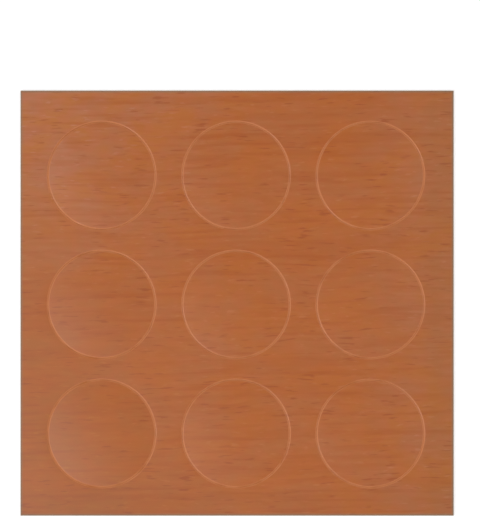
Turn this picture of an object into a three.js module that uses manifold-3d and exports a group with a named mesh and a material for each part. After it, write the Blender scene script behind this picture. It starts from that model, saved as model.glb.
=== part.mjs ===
// A sheet of self-adhesive screw cover caps. A printed decor film lies on a release liner and is
// kiss-cut into round caps: the die goes through the film and stops at the liner, so every cap and the
// film left round them are separate pieces that the liner holds together until a cap is peeled off.
// Millimetres, +Z up, with the origin under the middle of the sheet.
import * as THREE from "three";
import { mergeVertices } from "three/addons/utils/BufferGeometryUtils.js";
import Module from "manifold-3d";

const wasm = await Module();
wasm.setup();

// The caps, measured to the die's cutting line
const capDiameter = 20;
const columnCount = 3;
const rowCount = 3;
const columnGap = 5;
const rowGap = 4;

// From the outermost cutting lines to the sheet's edges
const leftMargin = 5.1;
const rightMargin = 5.5;
const topMargin = 5.8;
const bottomMargin = 5.3;

// The layers; the film's thickness includes its adhesive coat
const linerThickness = 0.15;
const filmThickness = 0.5;

// The kiss cut: a thin wedge-shaped blade parts the film, which closes to a hairline at the lips once
// the blade is out. On both sides the blade has pressed the film into a slope down to the lip, and the
// slope leaves the flat surface over a rounded shoulder.
const cutWidthAtLiner = 0.04;
const cutWidthAtLips = 0.02;
const slopeWidth = 0.2;
const slopeDepth = 0.06;
const shoulderRadius = 0.3;

// The die also presses each cap's rim down, so the middle stands a little proud
const capCrown = 0.22;

// How finely the round forms are stepped
const roundSteps = 64;
const shoulderSteps = 2;
const crownSteps = 3;
const cutterOverrun = 1;

const filmColour = 0xad673e;
const filmRoughness = 0.45;
const linerColour = 0xe6dfcf;
const linerRoughness = 0.6;

const columnPitch = capDiameter + columnGap;
const rowPitch = capDiameter + rowGap;
const sheetWidth = leftMargin + columnPitch * (columnCount - 1) + capDiameter + rightMargin;
const sheetDepth = topMargin + rowPitch * (rowCount - 1) + capDiameter + bottomMargin;

const slopeAngle = Math.atan(slopeDepth / slopeWidth);
const shoulderReach = shoulderRadius * Math.tan(slopeAngle / 2);

const filmMaterial = new THREE.MeshStandardMaterial({
  color: filmColour,
  roughness: filmRoughness,
  metalness: 0,
});
const linerMaterial = new THREE.MeshStandardMaterial({
  color: linerColour,
  roughness: linerRoughness,
  metalness: 0,
});

// Where each cap's centre lies; rows count from the far edge and columns from the left
function capPlaces() {
  const places = [];
  for (let row = 0; row < rowCount; row++) {
    for (let column = 0; column < columnCount; column++) {
      places.push({
        name: `cap_row${row + 1}_col${column + 1}`,
        x: -sheetWidth / 2 + leftMargin + capDiameter / 2 + column * columnPitch,
        y: sheetDepth / 2 - topMargin - capDiameter / 2 - row * rowPitch,
      });
    }
  }
  return places;
}

// Points along an arc, both ends included, as (radius, height) pairs for a revolved profile
function arcPoints(centreRadius, centreHeight, radius, fromAngle, toAngle, steps) {
  const points = [];
  for (let step = 0; step <= steps; step++) {
    const angle = fromAngle + ((toAngle - fromAngle) * step) / steps;
    points.push(
      new THREE.Vector2(centreRadius + radius * Math.cos(angle), centreHeight + radius * Math.sin(angle)),
    );
  }
  return points;
}

// Revolves a profile about the vertical axis
function revolve(profile) {
  return new THREE.LatheGeometry(profile, roundSteps).rotateX(Math.PI / 2);
}

// The shoulder on one side of a cut: side is 1 where the film falls outwards and -1 where it falls in
function shoulderPoints(flatRadius, side) {
  const upright = Math.PI / 2;
  const height = filmThickness - shoulderRadius;
  return arcPoints(flatRadius, height, shoulderRadius, upright - side * slopeAngle, upright, shoulderSteps);
}

// A cap's crowned top: one arc from the shoulder up to a level middle
function crownPoints(rimRadius) {
  const crownRadius = (rimRadius ** 2 + capCrown ** 2) / (2 * capCrown);
  const centreHeight = filmThickness + capCrown - crownRadius;
  const rimAngle = Math.acos(rimRadius / crownRadius);
  const arc = arcPoints(0, centreHeight, crownRadius, rimAngle, Math.PI / 2, crownSteps);
  arc[crownSteps].x = 0;
  return arc.slice(1);
}

// One cap: flat adhesive side down, a cut flank, the pressed slope with its shoulder, and the crown
function capGeometry() {
  const footRadius = (capDiameter - cutWidthAtLiner) / 2;
  const lipRadius = (capDiameter - cutWidthAtLips) / 2;
  const rimRadius = lipRadius - slopeWidth - shoulderReach;
  const profile = [
    new THREE.Vector2(0, 0),
    new THREE.Vector2(footRadius, 0),
    new THREE.Vector2(lipRadius, filmThickness - slopeDepth),
    ...shoulderPoints(rimRadius, 1),
    ...crownPoints(rimRadius),
  ];
  return revolve(profile);
}

// The space that the blade opens round a cap, cap included: the film left over is the plate less this
function cutterGeometry() {
  const footRadius = (capDiameter + cutWidthAtLiner) / 2;
  const lipRadius = (capDiameter + cutWidthAtLips) / 2;
  const rimRadius = lipRadius + slopeWidth + shoulderReach;
  const profile = [
    new THREE.Vector2(0, -cutterOverrun),
    new THREE.Vector2(footRadius, -cutterOverrun),
    new THREE.Vector2(footRadius, 0),
    new THREE.Vector2(lipRadius, filmThickness - slopeDepth),
    ...shoulderPoints(rimRadius, -1),
    new THREE.Vector2(rimRadius, filmThickness + cutterOverrun),
    new THREE.Vector2(0, filmThickness + cutterOverrun),
  ];
  return revolve(profile);
}

// A plate of the sheet's outline
function sheetGeometry(thickness) {
  const outline = new THREE.Shape([
    new THREE.Vector2(-sheetWidth / 2, -sheetDepth / 2),
    new THREE.Vector2(sheetWidth / 2, -sheetDepth / 2),
    new THREE.Vector2(sheetWidth / 2, sheetDepth / 2),
    new THREE.Vector2(-sheetWidth / 2, sheetDepth / 2),
  ]);
  return new THREE.ExtrudeGeometry(outline, { depth: thickness, bevelEnabled: false });
}

// A closed geometry as a solid that can be joined and cut
function solidFrom(geometry) {
  const bare = geometry.clone();
  bare.deleteAttribute("normal");
  bare.deleteAttribute("uv");
  const merged = mergeVertices(bare);
  return new wasm.Manifold(
    new wasm.Mesh({
      numProp: 3,
      vertProperties: new Float32Array(merged.getAttribute("position").array),
      triVerts: new Uint32Array(merged.index.array),
    }),
  );
}

// A solid back as a geometry
function geometryFrom(solid) {
  const mesh = solid.getMesh();
  return new THREE.BufferGeometry()
    .setAttribute("position", new THREE.BufferAttribute(new Float32Array(mesh.vertProperties), 3))
    .setIndex(new THREE.BufferAttribute(new Uint32Array(mesh.triVerts), 1));
}

// The film left round the caps, in one piece
function surroundGeometry() {
  const cutter = solidFrom(cutterGeometry());
  let film = solidFrom(sheetGeometry(filmThickness));
  for (const place of capPlaces()) {
    film = film.subtract(cutter.translate([place.x, place.y, 0]));
  }
  return geometryFrom(film);
}

// One named piece in its place
function piece(name, geometry, material, x, y, z) {
  const mesh = new THREE.Mesh(geometry, material);
  mesh.name = name;
  mesh.position.set(x, y, z);
  return mesh;
}

const sheet = new THREE.Group();
sheet.add(piece("release_liner", sheetGeometry(linerThickness), linerMaterial, 0, 0, 0));
sheet.add(piece("film_surround", surroundGeometry(), filmMaterial, 0, 0, linerThickness));
for (const place of capPlaces()) {
  sheet.add(piece(place.name, capGeometry(), filmMaterial, place.x, place.y, linerThickness));
}

export default sheet;
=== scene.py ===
import math
import bmesh
import bpy
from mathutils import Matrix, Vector


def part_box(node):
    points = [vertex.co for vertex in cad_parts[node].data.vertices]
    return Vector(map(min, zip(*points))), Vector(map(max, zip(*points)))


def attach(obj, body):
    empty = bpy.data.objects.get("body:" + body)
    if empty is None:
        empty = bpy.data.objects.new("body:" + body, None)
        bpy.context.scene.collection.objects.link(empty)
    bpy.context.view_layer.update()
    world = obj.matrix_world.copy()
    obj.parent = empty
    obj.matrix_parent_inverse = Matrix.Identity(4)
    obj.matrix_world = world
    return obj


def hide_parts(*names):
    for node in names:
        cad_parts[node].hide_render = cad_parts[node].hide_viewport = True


# A sheet of self-adhesive screw cover caps: wood-print film on a paper liner, with nine caps
# kiss-cut into it.
# Lengths in the dictionaries are millimetres, and mm turns them into the scene's metres.
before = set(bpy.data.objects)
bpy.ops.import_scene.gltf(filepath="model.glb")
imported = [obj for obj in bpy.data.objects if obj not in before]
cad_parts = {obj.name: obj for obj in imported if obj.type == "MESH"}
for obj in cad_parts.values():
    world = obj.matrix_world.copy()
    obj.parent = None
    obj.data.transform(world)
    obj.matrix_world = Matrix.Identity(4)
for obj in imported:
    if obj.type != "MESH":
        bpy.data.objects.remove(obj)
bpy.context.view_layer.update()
mm = 0.001
linerLow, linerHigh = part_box("release_liner")
filmLow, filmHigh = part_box("film_surround")
capBoxes = {name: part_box(name) for name in sorted(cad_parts) if name.startswith("cap_")}
print("frame loaded:", len(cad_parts), "nodes")

samePoint = 0.0005 * mm   # points closer than this are one
circleSlack = 0.0002      # how far off its circle a point may lie, in parts of the radius


# Where the blade went, the film's edges slope down to each other and all but touch again
kissCut = {
    "gapInSolids": 0.02,   # by which a cap's box is smaller than its cut
    "gapAtLiner": 0.04,
    "gapAtSurface": 0.004,
    "slopeWidth": 0.2,
    "slopeDepth": 0.06,
    "lipRoll": 0.008,
    "lipSegments": 2,
    "shoulderRoll": 0.05,
    "shoulderSegments": 4,
    "roundSteps": 192,
}


def centreOf(box):
    return (box[0] + box[1]) / 2


# A kiss cut's radius lies midway between a cap and the film round it
firstCap = next(iter(capBoxes.values()))
cutRadius = (firstCap[1].x - firstCap[0].x) / 2 + kissCut["gapInSolids"] * mm / 2


# Turns a profile of (radius, height) points about the upright axis
def spinProfile(mesh, profile, steps):
    verts = [mesh.verts.new((radius, 0, height)) for radius, height in profile]
    edges = [mesh.edges.new(pair) for pair in zip(verts, verts[1:])]
    bmesh.ops.spin(mesh, geom=verts + edges, axis=(0, 0, 1), cent=(0, 0, 0), angle=2 * math.pi,
                   steps=steps, use_merge=True)
    bmesh.ops.remove_doubles(mesh, verts=mesh.verts, dist=samePoint)


# The edges that lie on one circle about the upright axis
def circleEdges(mesh, radius, height):
    near = radius * circleSlack
    def onCircle(vert):
        return abs(vert.co.xy.length - radius) < near and abs(vert.co.z - height) < near
    return [edge for edge in mesh.edges if all(onCircle(vert) for vert in edge.verts)]


def rollEdges(mesh, edges, radius, segments):
    bmesh.ops.bevel(mesh, geom=edges, offset=radius, offset_type="OFFSET", segments=segments,
                    profile=0.5, affect="EDGES", material=-1)


# Rounds the lip of a cut edge and the shoulder where its slope leaves the top
def rollCutEdge(mesh, lip, shoulder):
    rollEdges(mesh, circleEdges(mesh, *lip), kissCut["lipRoll"] * mm, kissCut["lipSegments"])
    rollEdges(mesh, circleEdges(mesh, *shoulder), kissCut["shoulderRoll"] * mm,
              kissCut["shoulderSegments"])


# Adds a copy of a ring at each cap's place, and uses the ring up
def setRings(mesh, ring):
    data = bpy.data.meshes.new("ring")
    place = Vector((0, 0, 0))
    for box in capBoxes.values():
        centre = centreOf(box)
        centre.z = 0
        bmesh.ops.translate(ring, verts=ring.verts, vec=centre - place)
        ring.to_mesh(data)
        mesh.from_mesh(data)
        place = centre
    ring.free()
    bpy.data.meshes.remove(data)


# Closes the flat stretch at one height, between the rings and the outline
def fillBetween(mesh, height):
    rim = [edge for edge in mesh.edges if edge.is_boundary
           and all(abs(vert.co.z - height) < samePoint for vert in edge.verts)]
    bmesh.ops.triangle_fill(mesh, use_beauty=True, use_dissolve=False, edges=rim)


# The outline's upright sides, with a narrow level shelf inside them at the bottom and the top. The
# top edge is rolled, and a ring of edges close behind the roll keeps its shading off the shelf.
def outlineBand(mesh, low, high, edge):
    shelf = edge["outlineShelf"] * mm
    corners = [(low.x, low.y), (high.x, low.y), (high.x, high.y), (low.x, high.y)]
    inner = [mesh.verts.new((x - math.copysign(shelf, x), y - math.copysign(shelf, y), low.z))
             for x, y in corners]
    loop = [mesh.edges.new((inner[i], inner[i - 1])) for i in range(len(inner))]
    topEdge = (0, high.z)
    support = (edge["outlineSupport"] * mm, high.z)
    for inset, height in ((0, low.z), topEdge, support, (shelf, high.z)):
        made = bmesh.ops.extrude_edge_only(mesh, edges=loop)["geom"]
        loop = [part for part in made if isinstance(part, bmesh.types.BMEdge)]
        for vert in {vert for side in loop for vert in side.verts}:
            vert.co = (math.copysign(high.x - inset, vert.co.x),
                       math.copysign(high.y - inset, vert.co.y), height)
        if (inset, height) == topEdge:
            rolled = loop
    rollEdges(mesh, rolled, edge["cutEdgeRoll"] * mm, edge["cutEdgeSegments"])


# A closed mesh becomes a piece of the object, sharp where it bends more than the crease angle
def finishPiece(mesh, name, material, node, creaseAngle):
    bmesh.ops.recalc_face_normals(mesh, faces=mesh.faces)
    for face in mesh.faces:
        face.smooth = True
    for edge in mesh.edges:
        edge.smooth = edge.calc_face_angle(math.pi) < math.radians(creaseAngle)
    openEdges = sum(not edge.is_manifold for edge in mesh.edges)
    data = bpy.data.meshes.new(name)
    mesh.to_mesh(data)
    mesh.free()
    data.materials.append(material)
    piece = bpy.data.objects.new(name, data)
    bpy.context.scene.collection.objects.link(piece)
    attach(piece, "root")
    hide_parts(node)
    print("  ", name, len(data.polygons), "faces,", openEdges, "open edges")


cap = {
    "crownRings": 18,
    "crownPower": 2.0,    # 2 is an even dome, and more keeps the middle flatter
    "supportRing": 0.05,  # a ring close behind the shoulder, which keeps its shading off the top
    "creaseAngle": 32,    # degrees
}


def makeCap(name, box, material):
    low, high = box
    foot = cutRadius - kissCut["gapAtLiner"] * mm / 2
    edge = cutRadius - kissCut["gapAtSurface"] * mm / 2
    lip = (edge, filmHigh.z - kissCut["slopeDepth"] * mm)
    shoulder = (edge - kissCut["slopeWidth"] * mm, filmHigh.z)
    support = shoulder[0] - (kissCut["shoulderRoll"] + cap["supportRing"]) * mm
    rings = cap["crownRings"]
    profile = [(0, low.z), (foot, low.z), lip, shoulder]
    profile += [(support * (1 - step / rings), filmHigh.z) for step in range(rings + 1)]
    mesh = bmesh.new()
    spinProfile(mesh, profile, kissCut["roundSteps"])
    rollCutEdge(mesh, lip, shoulder)

    # inside the shoulder, what lies in the upper half rises into the crown
    halfway = centreOf((low, filmHigh)).z
    for vert in mesh.verts:
        away = vert.co.xy.length / shoulder[0]
        if away < 1 and vert.co.z > halfway:
            vert.co.z += (high.z - filmHigh.z) * (1 - away ** cap["crownPower"])
    centre = centreOf(box)
    bmesh.ops.translate(mesh, verts=mesh.verts, vec=(centre.x, centre.y, 0))
    finishPiece(mesh, name + "_film", material, name, cap["creaseAngle"])


surround = {
    "pressedFall": 0.012,   # how far the die presses the film down beside a cut
    "pressedReach": 1.65,   # and how far from the cut that can be seen
    "pressedRings": 6,
    "supportRing": 0.05,
    "outlineShelf": 1.0,
    "outlineSupport": 0.06,
    "cutEdgeRoll": 0.025,
    "cutEdgeSegments": 3,
    "creaseAngle": 32,
}


def makeSurround(material):
    foot = cutRadius + kissCut["gapAtLiner"] * mm / 2
    edge = cutRadius + kissCut["gapAtSurface"] * mm / 2
    fall, reach = surround["pressedFall"] * mm, surround["pressedReach"] * mm
    lip = (edge, filmHigh.z - fall - kissCut["slopeDepth"] * mm)
    shoulder = (edge + kissCut["slopeWidth"] * mm, filmHigh.z - fall)
    start = (kissCut["shoulderRoll"] + surround["supportRing"]) * mm
    steps = surround["pressedRings"]
    away = [start + (reach - start) * step / steps for step in range(steps + 1)]
    pressed = [(shoulder[0] + part, filmHigh.z - fall * (1 - part / reach) ** 2) for part in away]
    ring = bmesh.new()
    spinProfile(ring, [(pressed[-1][0], filmLow.z), (foot, filmLow.z), lip, shoulder] + pressed,
                kissCut["roundSteps"])
    rollCutEdge(ring, lip, shoulder)
    mesh = bmesh.new()
    outlineBand(mesh, filmLow, filmHigh, surround)
    setRings(mesh, ring)
    fillBetween(mesh, filmLow.z)
    fillBetween(mesh, filmHigh.z)
    finishPiece(mesh, "film_surround_web", material, "film_surround",
                surround["creaseAngle"])


liner = {
    "grooveDepth": 0.03,    # the blade's tip just marks the paper
    "grooveWidth": 0.05,
    "strikeHeight": 0.012,  # and the die's pressure shows as a faint ridge underneath
    "strikeWidth": 0.5,
    "outlineShelf": 1.0,
    "outlineSupport": 0.06,
    "cutEdgeRoll": 0.03,
    "cutEdgeSegments": 2,
    "creaseAngle": 20,
}


def makeLiner(material):
    bottom = linerLow.z + liner["strikeHeight"] * mm
    groove = (liner["grooveWidth"] * mm / 2, linerHigh.z, linerHigh.z - liner["grooveDepth"] * mm)
    strike = (liner["strikeWidth"] * mm / 2, bottom, linerLow.z)
    ring = bmesh.new()
    for half, flatHeight, middleHeight in (groove, strike):
        spinProfile(ring, [(cutRadius - half, flatHeight), (cutRadius, middleHeight),
                           (cutRadius + half, flatHeight)], kissCut["roundSteps"])
        bmesh.ops.edgeloop_fill(ring, edges=circleEdges(ring, cutRadius - half, flatHeight))
    mesh = bmesh.new()
    outlineBand(mesh, Vector((linerLow.x, linerLow.y, bottom)), linerHigh, liner)
    setRings(mesh, ring)
    fillBetween(mesh, bottom)
    fillBetween(mesh, linerHigh.z)
    finishPiece(mesh, "release_liner_paper", material, "release_liner",
                liner["creaseAngle"])


# A colour as a paint program shows it, made the light values that shaders take (the sRGB curve)
def paint(red, green, blue):
    def channel(value):
        share = value / 255
        return share / 12.92 if share <= 0.04045 else ((share + 0.055) / 1.055) ** 2.4
    return (channel(red), channel(green), channel(blue), 1)


def addNode(tree, kind, place, settings=None, inputs=None):
    node = tree.nodes.new("ShaderNode" + kind)
    node.location = place
    for key, value in (settings or {}).items():
        setattr(node, key, value)
    for key, value in (inputs or {}).items():
        node.inputs[key].default_value = value
    return node


# Gives a socket a number or colour, or links another node's output to it
def feed(tree, socket, value):
    if isinstance(value, bpy.types.NodeSocket):
        tree.links.new(value, socket)
    else:
        socket.default_value = value


def newMaterial(name):
    material = bpy.data.materials.new(name)
    material.use_nodes = True
    tree = material.node_tree
    tree.nodes.clear()
    output = addNode(tree, "OutputMaterial", (2400, 0))
    shader = addNode(tree, "BsdfPrincipled", (2100, 0))
    tree.links.new(shader.outputs["BSDF"], output.inputs["Surface"])
    return material, tree, shader


# A piece's own coordinates: as they are, and in millimetres turned to the grain
def pieceCoordinates(tree, left, turn=0.0):
    place = addNode(tree, "TexCoord", (left, 0)).outputs["Object"]
    grain = addNode(tree, "Mapping", (left + 200, 0), inputs={
        "Scale": (1 / mm, 1 / mm, 1 / mm), "Rotation": (0, 0, math.radians(turn))})
    feed(tree, grain.inputs["Vector"], place)
    return place, grain.outputs[0]


# Every noise is taken from a spot of its own, so that no two kinds of mark fall together
noiseSpots = {
    "waver": 3.1,
    "clouds": 11.3,
    "marks": 17.3,      # times 1, 2, 3 and so on for the kinds of mark
    "crowds": 5.9,      # likewise
    "patches": 13.7,
    "fibres": 8.9,
    "paperClouds": 5.5,
    "paperFibres": 9.1,
    "sideways": 0.7,    # a spot's share across the grain
}


# Noise drawn out along the grain: length and width are the size of its marks in millimetres
def grainNoise(tree, source, place, length, width, detail, spot):
    stretch = addNode(tree, "Mapping", place, inputs={
        "Scale": (1 / length, 1 / width, 0), "Location": (spot, spot * noiseSpots["sideways"], 0)})
    noise = addNode(tree, "TexNoise", (place[0] + 200, place[1]), {"noise_dimensions": "2D"},
                    {"Scale": 1.0, "Detail": detail, "Roughness": 0.5})
    feed(tree, stretch.inputs["Vector"], source)
    tree.links.new(stretch.outputs["Vector"], noise.inputs["Vector"])
    return noise.outputs[0]


# Takes a value that runs from start to end to one that runs from low to high
def fade(tree, source, place, start, end, low=0.0, high=1.0):
    ramp = addNode(tree, "MapRange", place, {"interpolation_type": "SMOOTHSTEP"},
                   {"From Min": start, "From Max": end, "To Min": low, "To Max": high})
    feed(tree, ramp.inputs["Value"], source)
    return ramp.outputs["Result"]


def reckon(tree, operation, first, second, place):
    node = addNode(tree, "Math", place, {"operation": operation})
    feed(tree, node.inputs[0], first)
    feed(tree, node.inputs[1], second)
    return node.outputs[0]


# A Mix node's colours are its sockets 6 and 7, and its blend comes out of socket 2
def blendColours(tree, factor, first, second, place, kind="MIX"):
    node = addNode(tree, "Mix", place, {"data_type": "RGBA", "blend_type": kind})
    feed(tree, node.inputs[0], factor)
    feed(tree, node.inputs[6], first)
    feed(tree, node.inputs[7], second)
    return node.outputs[2]


# A roughness that swings a little with a noise
def swingRoughness(tree, noise, place, look):
    swing = look["roughnessSwing"]
    return fade(tree, noise, place, 0, 1, look["roughness"] - swing, look["roughness"] + swing)


# Raises the surface slightly where a noise is high
def addRelief(tree, shader, noise, place, look):
    relief = addNode(tree, "Bump", place, inputs={
        "Strength": look["reliefStrength"], "Distance": look["reliefDepth"] * mm})
    feed(tree, relief.inputs["Height"], noise)
    feed(tree, shader.inputs["Normal"], relief.outputs[0])


# The print: an orange and pinkish brown wood, with short dark pores along the grain.
# Each kind of mark has its length and width in millimetres, the part of the noise that it takes,
# and its strength and colour. Marks with a crowd come only where a broader noise of that length
# and width is high.
woodPrint = {
    "orange": paint(176, 93, 22),
    "pink": paint(171, 94, 38),
    "cloudLength": 9,
    "cloudWidth": 6,
    "cloudRange": (0.32, 0.68),        # the part of the noise between all orange and all pink
    "flecks": [
        {"length": 2.4, "width": 1.8, "detail": 2, "from": 0.4, "to": 0.65, "strength": 0.26,
         "colour": paint(183, 90, 40)},
        {"length": 4, "width": 0.8, "detail": 1, "from": 0.5, "to": 0.78, "strength": 0.14,
         "colour": paint(188, 114, 64)},
        {"length": 2.6, "width": 0.55, "detail": 1, "from": 0.68, "to": 0.8, "strength": 0.26,
         "colour": paint(192, 122, 74)},
    ],
    "pores": [
        {"length": 50, "width": 1.8, "detail": 2, "from": 0.46, "to": 0.75, "strength": 0.3,
         "colour": paint(165, 77, 0)},
        {"length": 6, "width": 0.95, "detail": 1, "from": 0.5, "to": 0.75, "strength": 0.22,
         "colour": paint(163, 74, 0)},
        {"length": 18, "width": 0.9, "detail": 1, "from": 0.56, "to": 0.75, "strength": 0.32,
         "colour": paint(160, 71, 0)},
        {"length": 3.8, "width": 0.46, "detail": 1, "from": 0.64, "to": 0.75, "strength": 0.54,
         "colour": paint(148, 60, 0), "crowd": (9, 4.5)},
    ],
    "crowdRange": (0.35, 0.6),
    # Painted sheen and painted shade over the print: towards the top left and the right the colour is
    # made paler and bluer, as painted sheen, and towards the lower left, at the right edge and at the
    # bottom it is made darker, as painted shade. Each has its direction, where it starts and ends,
    # and what it multiplies red, green and blue by.
    "paintedSheenAndShade": [
        # painted sheen: paler and bluer towards the top left
        {"x": -1, "y": 1, "from": 15, "to": 80, "tint": (1.04, 1.25, 2.8)},
        # painted shade: darker towards the lower left, with the blue nearly gone, taking back part of
        # the left softbox's sheen
        {"x": -1, "y": -0.6, "from": 15, "to": 55, "tint": (0.9, 0.83, 0.05)},
        # painted sheen: bluer towards the right
        {"x": 1, "y": 0, "from": 15, "to": 45, "tint": (0.97, 1.1, 1.9)},
        # painted shade: darker at the right edge
        {"x": 1, "y": 0, "from": 33, "to": 37, "tint": (0.95, 0.96, 0.8)},
        # painted shade: darker at the bottom edge
        {"x": 0, "y": -1, "from": 32, "to": 37, "tint": (0.95, 0.96, 1)},
    ],
    "core": paint(191, 115, 66),       # the film's own brown, where it is stretched beside a cut
    "coreRange": (0.999, 0.985),       # how level the film is where that starts, and where it is full
    "coreRoughness": 0.6,
    "coreLustre": 0.2,                 # stretched film glints in its own colour
    "patchSize": 4,                    # it shows unevenly, in patches of this size
    "patchRange": (0.3, 0.65),
    "patchStrength": (0.4, 1.1),
    "adhesive": paint(205, 190, 160),
    "adhesiveHeight": (0.09, 0.05),    # above the film's foot: where it starts, and where it is full
    # painted shade along the trimmed outline: its colour, width, depth below the top and strength
    "paintedEdgeShade": paint(110, 109, 87),      # the trimmed outline, dragged dull by the knife
    "paintedEdgeShadeWidth": 0.6,
    "paintedEdgeShadeDepth": (0.2, 0.1),          # below the top: where it starts, and where it is full
    "paintedEdgeShadeStrength": 0.65,
    "grainTurn": -1.0,                 # degrees
    "waver": 0.8,                      # how far the grain wanders sideways
    "waverLength": 26,
    "waverWidth": 15.6,
    "roughness": 0.315,
    "roughnessSwing": 0.04,
    "bending": 1.52,                   # the glossy skin's index of refraction
    "fibreLength": 1.2,
    "fibreWidth": 0.3,
    "reliefDepth": 0.005,
    "reliefStrength": 0.5,
}


# The grain wanders a little, so its lines aren't ruled
def wanderingGrain(tree, grain):
    look = woodPrint
    wander = grainNoise(tree, grain, (-1800, -300), look["waverLength"], look["waverWidth"], 1,
                        noiseSpots["waver"])
    sideways = fade(tree, wander, (-1400, -300), 0, 1, -look["waver"] / 2, look["waver"] / 2)
    offset = addNode(tree, "CombineXYZ", (-1200, -300))
    feed(tree, offset.inputs["Y"], sideways)
    wavy = addNode(tree, "VectorMath", (-1000, 0), {"operation": "ADD"})
    feed(tree, wavy.inputs[0], grain)
    feed(tree, wavy.inputs[1], offset.outputs[0])
    return wavy.outputs[0]


# Lays one kind of mark over a colour
def addMark(tree, along, colour, mark, index):
    high = 400 - 250 * index
    noise = grainNoise(tree, along, (-800, high), mark["length"], mark["width"], mark["detail"],
                       noiseSpots["marks"] * (index + 1))
    share = fade(tree, noise, (-400, high), mark["from"], mark["to"], 0, mark["strength"])
    if "crowd" in mark:
        broad = grainNoise(tree, along, (-800, high - 120), *mark["crowd"], 1,
                           noiseSpots["crowds"] * (index + 1))
        crowd = fade(tree, broad, (-400, high - 120), *woodPrint["crowdRange"])
        share = reckon(tree, "MULTIPLY", share, crowd, (-200, high))
    return blendColours(tree, share, colour, mark["colour"], (200 * index, 300))


# Paints sheen and shade into a colour, more and more in one direction across the sheet
def addPaintedSheenAndShade(tree, parts, colour, paintedTint, index):
    high = -1100 - 200 * index
    inX = reckon(tree, "MULTIPLY", parts.outputs["X"], paintedTint["x"], (200, high))
    inY = reckon(tree, "MULTIPLY", parts.outputs["Y"], paintedTint["y"], (300, high))
    share = fade(tree, reckon(tree, "ADD", inX, inY, (400, high)), (600, high),
                 paintedTint["from"] * mm, paintedTint["to"] * mm)
    return blendColours(tree, share, colour, (*paintedTint["tint"], 1), (1200, 200), "MULTIPLY")


# The print's colour: clouds of two browns and the marks along the grain, with painted sheen and
# painted shade tinted over them across the sheet
def printWithPaintedLight(tree, along, parts):
    look = woodPrint
    clouds = grainNoise(tree, along, (-800, 600), look["cloudLength"], look["cloudWidth"], 2,
                        noiseSpots["clouds"])
    colour = blendColours(tree, fade(tree, clouds, (-400, 600), *look["cloudRange"]),
                          look["orange"], look["pink"], (-200, 600))
    for index, mark in enumerate(look["flecks"] + look["pores"]):
        colour = addMark(tree, along, colour, mark, index)
    for index, paintedTint in enumerate(look["paintedSheenAndShade"]):
        colour = addPaintedSheenAndShade(tree, parts, colour, paintedTint, index)
    return colour


# Beside a cut the film bends down and its print is stretched pale, more in some patches
def stretchedShare(tree, grain):
    look = woodPrint
    facing = addNode(tree, "NewGeometry", (0, -1600))
    slope = addNode(tree, "SeparateXYZ", (200, -1600))
    feed(tree, slope.inputs[0], facing.outputs["Normal"])
    bend = fade(tree, slope.outputs["Z"], (400, -1600), *look["coreRange"])
    patches = grainNoise(tree, grain, (400, -1800), look["patchSize"], look["patchSize"], 1,
                         noiseSpots["patches"])
    uneven = fade(tree, patches, (800, -1800), *look["patchRange"], *look["patchStrength"])
    return reckon(tree, "MULTIPLY", bend, uneven, (1000, -1600))


# Painted shade: a dark, dull band along the film's trimmed outline darkens the sheet's edge
def paintedEdgeShadeShare(tree, parts):
    sides = []
    for axis, edge, high in (("X", filmHigh.x, -1900), ("Y", filmHigh.y, -2100)):
        away = reckon(tree, "ABSOLUTE", parts.outputs[axis], 0, (200, high))
        sides.append(reckon(tree, "SUBTRACT", edge, away, (400, high)))
    inside = reckon(tree, "MINIMUM", *sides, (600, -2000))
    return fade(tree, inside, (800, -2000), woodPrint["paintedEdgeShadeWidth"] * mm, 0, 0,
                woodPrint["paintedEdgeShadeStrength"])


def makeFilmMaterial():
    look = woodPrint
    material, tree, shader = newMaterial("wood print film")
    place, grain = pieceCoordinates(tree, -2200, look["grainTurn"])
    along = wanderingGrain(tree, grain)
    parts = addNode(tree, "SeparateXYZ", (0, -1300))
    feed(tree, parts.inputs[0], place)
    stretched = stretchedShare(tree, grain)
    paintedEdgeShade = paintedEdgeShadeShare(tree, parts)

    # the painted shade along the outline stays near the top, and the adhesive shows at the foot of a
    # cut edge
    skinStart, skinFull = [filmHigh.z - depth * mm for depth in look["paintedEdgeShadeDepth"]]
    skin = fade(tree, parts.outputs["Z"], (800, -2200), skinStart, skinFull)
    glueStart, glueFull = [filmLow.z + height * mm for height in look["adhesiveHeight"]]
    glue = fade(tree, parts.outputs["Z"], (1000, -2300), glueStart, glueFull)

    colour = printWithPaintedLight(tree, along, parts)
    colour = blendColours(tree, stretched, colour, look["core"], (1400, 100))
    # painted shade: the dark band along the outline, kept near the top
    colour = blendColours(tree, reckon(tree, "MULTIPLY", paintedEdgeShade, skin, (1000, -2000)), colour,
                          look["paintedEdgeShade"], (1600, 0))
    colour = blendColours(tree, glue, colour, look["adhesive"], (1800, -100))
    feed(tree, shader.inputs["Base Color"], colour)

    # worn film is duller than the print, and stretched film has a lustre
    fibres = grainNoise(tree, along, (-800, -1500), look["fibreLength"], look["fibreWidth"], 2,
                        noiseSpots["fibres"])
    smooth = swingRoughness(tree, fibres, (1400, -400), look)
    worn = reckon(tree, "MAXIMUM", stretched, paintedEdgeShade, (1200, -550))
    duller = reckon(tree, "MULTIPLY", worn, look["coreRoughness"] - look["roughness"], (1400, -550))
    feed(tree, shader.inputs["Roughness"], reckon(tree, "ADD", smooth, duller, (1600, -400)))
    feed(tree, shader.inputs["Metallic"],
         reckon(tree, "MULTIPLY", stretched, look["coreLustre"], (1600, -250)))
    shader.inputs["IOR"].default_value = look["bending"]
    addRelief(tree, shader, fibres, (1800, -600), look)
    return material


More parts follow.
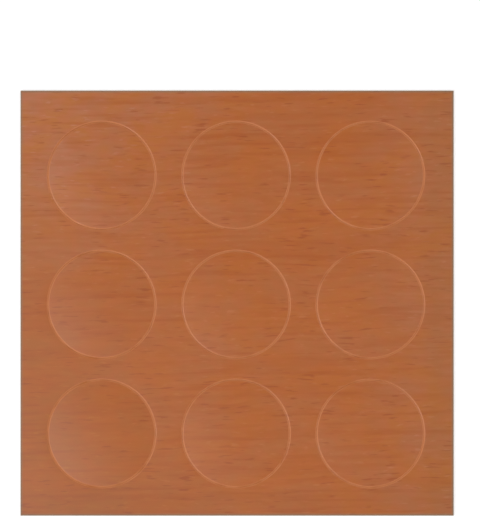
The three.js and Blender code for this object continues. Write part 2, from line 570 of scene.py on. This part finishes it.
linerPaper = {
    "colour": paint(238, 232, 219),
    "fibre": paint(232, 225, 211),
    "cloudLength": 2.2,
    "cloudWidth": 1.8,
    "fibreLength": 0.5,
    "fibreWidth": 0.12,
    "fibreRange": (0.12, 0.42),   # of the clouds times the fibres
    "roughness": 0.5,
    "roughnessSwing": 0.08,
    "bending": 1.45,
    "reliefDepth": 0.004,
    "reliefStrength": 0.4,
}


def makePaperMaterial():
    look = linerPaper
    material, tree, shader = newMaterial("siliconised paper")
    scaled = pieceCoordinates(tree, -1200)[1]
    cloudy = grainNoise(tree, scaled, (-800, 200), look["cloudLength"], look["cloudWidth"], 3,
                        noiseSpots["paperClouds"])
    fibres = grainNoise(tree, scaled, (-800, -100), look["fibreLength"], look["fibreWidth"], 2,
                        noiseSpots["paperFibres"])
    both = reckon(tree, "MULTIPLY", cloudy, fibres, (-400, 100))
    share = fade(tree, both, (-200, 100), *look["fibreRange"])
    feed(tree, shader.inputs["Base Color"],
         blendColours(tree, share, look["colour"], look["fibre"], (100, 100)))
    feed(tree, shader.inputs["Roughness"], swingRoughness(tree, cloudy, (100, -200), look))
    shader.inputs["IOR"].default_value = look["bending"]
    addRelief(tree, shader, fibres, (400, -400), look)
    return material


filmMaterial = makeFilmMaterial()
paperMaterial = makePaperMaterial()
print("materials made")

makeLiner(paperMaterial)
makeSurround(filmMaterial)
for capName, capBox in capBoxes.items():
    makeCap(capName, capBox, filmMaterial)
print("pieces made")


# The studio: a white floor that turns up at the back, soft lamps and the camera. In metres.
studio = {
    "floorRadius": 2.2,
    "backdropRadius": 3.0,
    "backdropHeight": 0.9,
    "roundSteps": 96,
    "bendShare": 0.9,         # the bend's part of the stretch from the floor to the backdrop
    "bendSegments": 10,
    "floorColour": 0.62,
    "whiteForCamera": 0.5,    # brings the lit floor to white and leaves the shadow a pale grey
    "whiteFarOff": 1.0,       # and the same where the lamps no longer reach
    "nearEnds": 0.35,
    "farStarts": 1.6,
    "worldLevel": 0.33,
    "levelFromBelow": 0.8,    # lights what faces down, as the floor lets that light through
    "belowFull": -0.05,       # the height of the direction from which it comes, where it is full
}


# The floor's surface: matt, with a share of plain white where the camera or a reflection sees it.
# It lets light through to whatever faces down, and isn't there at all when it is seen from below.
def makeFloorMaterial():
    material = bpy.data.materials.new("studio white")
    material.use_nodes = True
    tree = material.node_tree
    tree.nodes.clear()
    output = addNode(tree, "OutputMaterial", (800, 0))
    path = addNode(tree, "LightPath", (-400, 300))
    seen = path.outputs["Is Camera Ray"]
    for across, other in ((-200, "Is Glossy Ray"), (0, "Is Transmission Ray")):
        seen = reckon(tree, "MAXIMUM", seen, path.outputs[other], (across, 300))
    glow = addNode(tree, "Emission", (200, 200), inputs={"Color": (1, 1, 1, 1)})
    away = addNode(tree, "VectorMath", (-200, 600), {"operation": "LENGTH"})
    feed(tree, away.inputs[0], addNode(tree, "TexCoord", (-400, 600)).outputs["Object"])
    white = fade(tree, away.outputs["Value"], (0, 600), studio["nearEnds"], studio["farStarts"],
                 studio["whiteForCamera"], studio["whiteFarOff"])
    feed(tree, glow.inputs["Strength"], reckon(tree, "MULTIPLY", seen, white, (100, 400)))
    grey = studio["floorColour"]
    matt = addNode(tree, "BsdfDiffuse", (200, 0), inputs={"Color": (grey, grey, grey, 1)})
    both = addNode(tree, "AddShader", (400, 100))
    feed(tree, both.inputs[0], glow.outputs[0])
    feed(tree, both.inputs[1], matt.outputs[0])
    below = addNode(tree, "NewGeometry", (200, -300))
    through = reckon(tree, "MAXIMUM", below.outputs["Backfacing"], path.outputs["Is Diffuse Ray"],
                     (400, -300))
    clear = addNode(tree, "BsdfTransparent", (400, -100))
    choose = addNode(tree, "MixShader", (600, 0))
    feed(tree, choose.inputs[0], through)
    feed(tree, choose.inputs[1], both.outputs[0])
    feed(tree, choose.inputs[2], clear.outputs[0])
    feed(tree, output.inputs["Surface"], choose.outputs[0])
    return material


def makeFloor():
    mesh = bmesh.new()
    flat, far, tall = studio["floorRadius"], studio["backdropRadius"], studio["backdropHeight"]
    profile = [(0, 0), (flat, 0), (far, 0), (far, tall)]
    spinProfile(mesh, profile, studio["roundSteps"])
    rollEdges(mesh, circleEdges(mesh, far, 0), (far - flat) * studio["bendShare"],
              studio["bendSegments"])
    bmesh.ops.recalc_face_normals(mesh, faces=mesh.faces)
    middle = min(mesh.faces, key=lambda face: face.calc_center_median().xy.length)
    if middle.normal.z < 0:
        bmesh.ops.reverse_faces(mesh, faces=mesh.faces)
    for face in mesh.faces:
        face.smooth = True
    data = bpy.data.meshes.new("studio_floor")
    mesh.to_mesh(data)
    mesh.free()
    data.materials.append(makeFloorMaterial())
    floor = bpy.data.objects.new("studio_floor", data)
    bpy.context.scene.collection.objects.link(floor)


# A lamp's level is about how bright it alone would show white paper lying on the floor
softboxes = {
    "left softbox": {"place": (-0.31, -0.177, 0.592), "width": 0.45, "depth": 0.45, "level": 0.5,
                     "colour": (1, 1, 1)},
    "right softbox": {"place": (0.399, 0.079, 0.557), "width": 0.58, "depth": 0.58, "level": 0.245,
                      "colour": (1, 1, 1)},
}


def addSoftbox(name, box):
    lamp = bpy.data.lights.new(name, "AREA")
    lamp.color = box["colour"]
    lamp.shape = "RECTANGLE"
    lamp.size = box["width"]
    lamp.size_y = box["depth"]
    position = Vector(box["place"])
    steepness = position.z / position.length
    lamp.energy = box["level"] * math.pi ** 2 * position.length ** 2 / steepness
    holder = bpy.data.objects.new(name, lamp)
    holder.location = position
    holder.rotation_euler = (-position).to_track_quat("-Z", "Y").to_euler()
    bpy.context.scene.collection.objects.link(holder)


def makeLights():
    for name, box in softboxes.items():
        addSoftbox(name, box)
    world = bpy.data.worlds.new("studio air")
    world.use_nodes = True
    tree = world.node_tree
    background = tree.nodes["Background"]
    background.inputs["Color"].default_value = (1, 1, 1, 1)
    path = addNode(tree, "LightPath", (-400, 0))
    towards = addNode(tree, "SeparateXYZ", (-600, 300))
    feed(tree, towards.inputs[0], addNode(tree, "TexCoord", (-800, 300)).outputs["Generated"])
    level = fade(tree, towards.outputs["Z"], (-400, 300), 0, studio["belowFull"],
                 studio["worldLevel"], studio["levelFromBelow"])
    feed(tree, background.inputs["Strength"],
         reckon(tree, "MAXIMUM", level, path.outputs["Is Camera Ray"], (-200, 0)))
    bpy.context.scene.world = world


# The camera looks straight down. The sheet's middle is off the picture's middle, so the camera stands
# off it too, and no shift is needed.
shot = {
    "lens": 180,
    "sensor": 36,
    "pictureWidth": 480,
    "pictureHeight": 525,
    "pixelsPerMillimetre": 5.375,
    "sheetMiddle": (237.1, 303.15),   # where the sheet's middle shows, in pixels from the top left
    "clipStart": 0.01,                # metres
    "clipEnd": 20,
}


def makeCamera():
    camera = bpy.data.cameras.new("camera")
    camera.lens = shot["lens"]
    camera.sensor_width = shot["sensor"]
    camera.clip_start = shot["clipStart"]
    camera.clip_end = shot["clipEnd"]
    scale = shot["pixelsPerMillimetre"]
    right = (shot["pictureWidth"] / 2 - shot["sheetMiddle"][0]) / scale * mm
    away = (shot["sheetMiddle"][1] - shot["pictureHeight"] / 2) / scale * mm
    above = shot["lens"] / shot["sensor"] * shot["pictureHeight"] / scale * mm
    middle = centreOf((filmLow, filmHigh))
    holder = bpy.data.objects.new("camera", camera)
    holder.location = (middle.x + right, middle.y + away, filmHigh.z + above)
    bpy.context.scene.collection.objects.link(holder)
    bpy.context.scene.camera = holder


makeFloor()
makeLights()
makeCamera()
bpy.context.scene.view_settings.view_transform = "Standard"
print("studio made")
